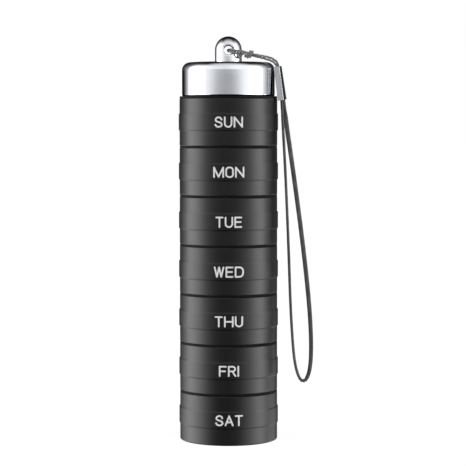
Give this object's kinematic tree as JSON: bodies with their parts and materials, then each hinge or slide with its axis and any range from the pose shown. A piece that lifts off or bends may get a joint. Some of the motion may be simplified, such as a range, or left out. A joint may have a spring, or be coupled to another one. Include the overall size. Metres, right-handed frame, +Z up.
{
  "type": "stacking pill organizer",
  "caption": "Cylinder of screw-together pill cups, one for each day, closed by a polished screw cap with an eye post and a thin wrist lanyard.",
  "frame": {"origin": "centre of the flat base of the lowest cup", "axes": "+Z up along the stack's axis, -Y towards the front with the day names, +X towards the side where the lanyard hangs"},
  "size_m": [0.041, 0.0304, 0.1239],
  "materials": {
    "anodised_black": "black anodised aluminium, satin, fine turning marks",
    "polished_chrome": "mirror-polished chrome plate",
    "seal_rubber": "black silicone rubber, matt",
    "nut_steel": "zinc-plated steel",
    "ferrule_steel": "nickel-plated crimp, lightly worn",
    "string_grey": "twisted dark grey polyester string",
    "braid_grey": "flat braided dark grey polyester cord"
  },
  "bodies": {
    "base_cup": {"cup_sat": "anodised_black"},
    "seal_1": {"seal_ring_1": "seal_rubber"},
    "fri_cup": {"cup_fri": "anodised_black"},
    "seal_2": {"seal_ring_2": "seal_rubber"},
    "thu_cup": {"cup_thu": "anodised_black"},
    "seal_3": {"seal_ring_3": "seal_rubber"},
    "wed_cup": {"cup_wed": "anodised_black"},
    "seal_4": {"seal_ring_4": "seal_rubber"},
    "tue_cup": {"cup_tue": "anodised_black"},
    "seal_5": {"seal_ring_5": "seal_rubber"},
    "mon_cup": {"cup_mon": "anodised_black"},
    "seal_6": {"seal_ring_6": "seal_rubber"},
    "sun_cup": {"cup_sun": "anodised_black"},
    "seal_cap": {"seal_ring_cap": "seal_rubber"},
    "cap": {"cap_shell": "polished_chrome", "lanyard_post": "polished_chrome", "post_nut": "nut_steel", "lanyard_string": "string_grey", "lanyard_knot": "string_grey", "lanyard_ferrule": "ferrule_steel", "wrist_loop": "braid_grey"}
  },
  "joints": [
    {"name": "fri_unscrew", "type": "hinge", "parent": "base_cup", "child": "seal_1", "pos_m": [0, 0, 0.0153], "axis": [0, 0, 1], "range_deg": [0, 1440]},
    {"name": "fri_lift", "type": "slide", "parent": "seal_1", "child": "fri_cup", "axis": [0, 0, 1], "range_m": [0, 0.0121]},
    {"name": "thu_unscrew", "type": "hinge", "parent": "fri_cup", "child": "seal_2", "pos_m": [0, 0, 0.0303], "axis": [0, 0, 1], "range_deg": [0, 1440]},
    {"name": "thu_lift", "type": "slide", "parent": "seal_2", "child": "thu_cup", "axis": [0, 0, 1], "range_m": [0, 0.0121]},
    {"name": "wed_unscrew", "type": "hinge", "parent": "thu_cup", "child": "seal_3", "pos_m": [0, 0, 0.0453], "axis": [0, 0, 1], "range_deg": [0, 1440]},
    {"name": "wed_lift", "type": "slide", "parent": "seal_3", "child": "wed_cup", "axis": [0, 0, 1], "range_m": [0, 0.0121]},
    {"name": "tue_unscrew", "type": "hinge", "parent": "wed_cup", "child": "seal_4", "pos_m": [0, 0, 0.0603], "axis": [0, 0, 1], "range_deg": [0, 1440]},
    {"name": "tue_lift", "type": "slide", "parent": "seal_4", "child": "tue_cup", "axis": [0, 0, 1], "range_m": [0, 0.0121]},
    {"name": "mon_unscrew", "type": "hinge", "parent": "tue_cup", "child": "seal_5", "pos_m": [0, 0, 0.0753], "axis": [0, 0, 1], "range_deg": [0, 1440]},
    {"name": "mon_lift", "type": "slide", "parent": "seal_5", "child": "mon_cup", "axis": [0, 0, 1], "range_m": [0, 0.0121]},
    {"name": "sun_unscrew", "type": "hinge", "parent": "mon_cup", "child": "seal_6", "pos_m": [0, 0, 0.0903], "axis": [0, 0, 1], "range_deg": [0, 1440]},
    {"name": "sun_lift", "type": "slide", "parent": "seal_6", "child": "sun_cup", "axis": [0, 0, 1], "range_m": [0, 0.0121]},
    {"name": "cap_unscrew", "type": "hinge", "parent": "sun_cup", "child": "seal_cap", "pos_m": [0, 0, 0.1053], "axis": [0, 0, 1], "range_deg": [0, 1440]},
    {"name": "cap_lift", "type": "slide", "parent": "seal_cap", "child": "cap", "axis": [0, 0, 1], "range_m": [0, 0.0121]}
  ],
  "couplings": [
    {"joint": "fri_lift", "follows": "fri_unscrew", "m_per_rad": 0.00047746},
    {"joint": "thu_lift", "follows": "thu_unscrew", "m_per_rad": 0.00047746},
    {"joint": "wed_lift", "follows": "wed_unscrew", "m_per_rad": 0.00047746},
    {"joint": "tue_lift", "follows": "tue_unscrew", "m_per_rad": 0.00047746},
    {"joint": "mon_lift", "follows": "mon_unscrew", "m_per_rad": 0.00047746},
    {"joint": "sun_lift", "follows": "sun_unscrew", "m_per_rad": 0.00047746},
    {"joint": "cap_lift", "follows": "cap_unscrew", "m_per_rad": 0.00047746}
  ]
}
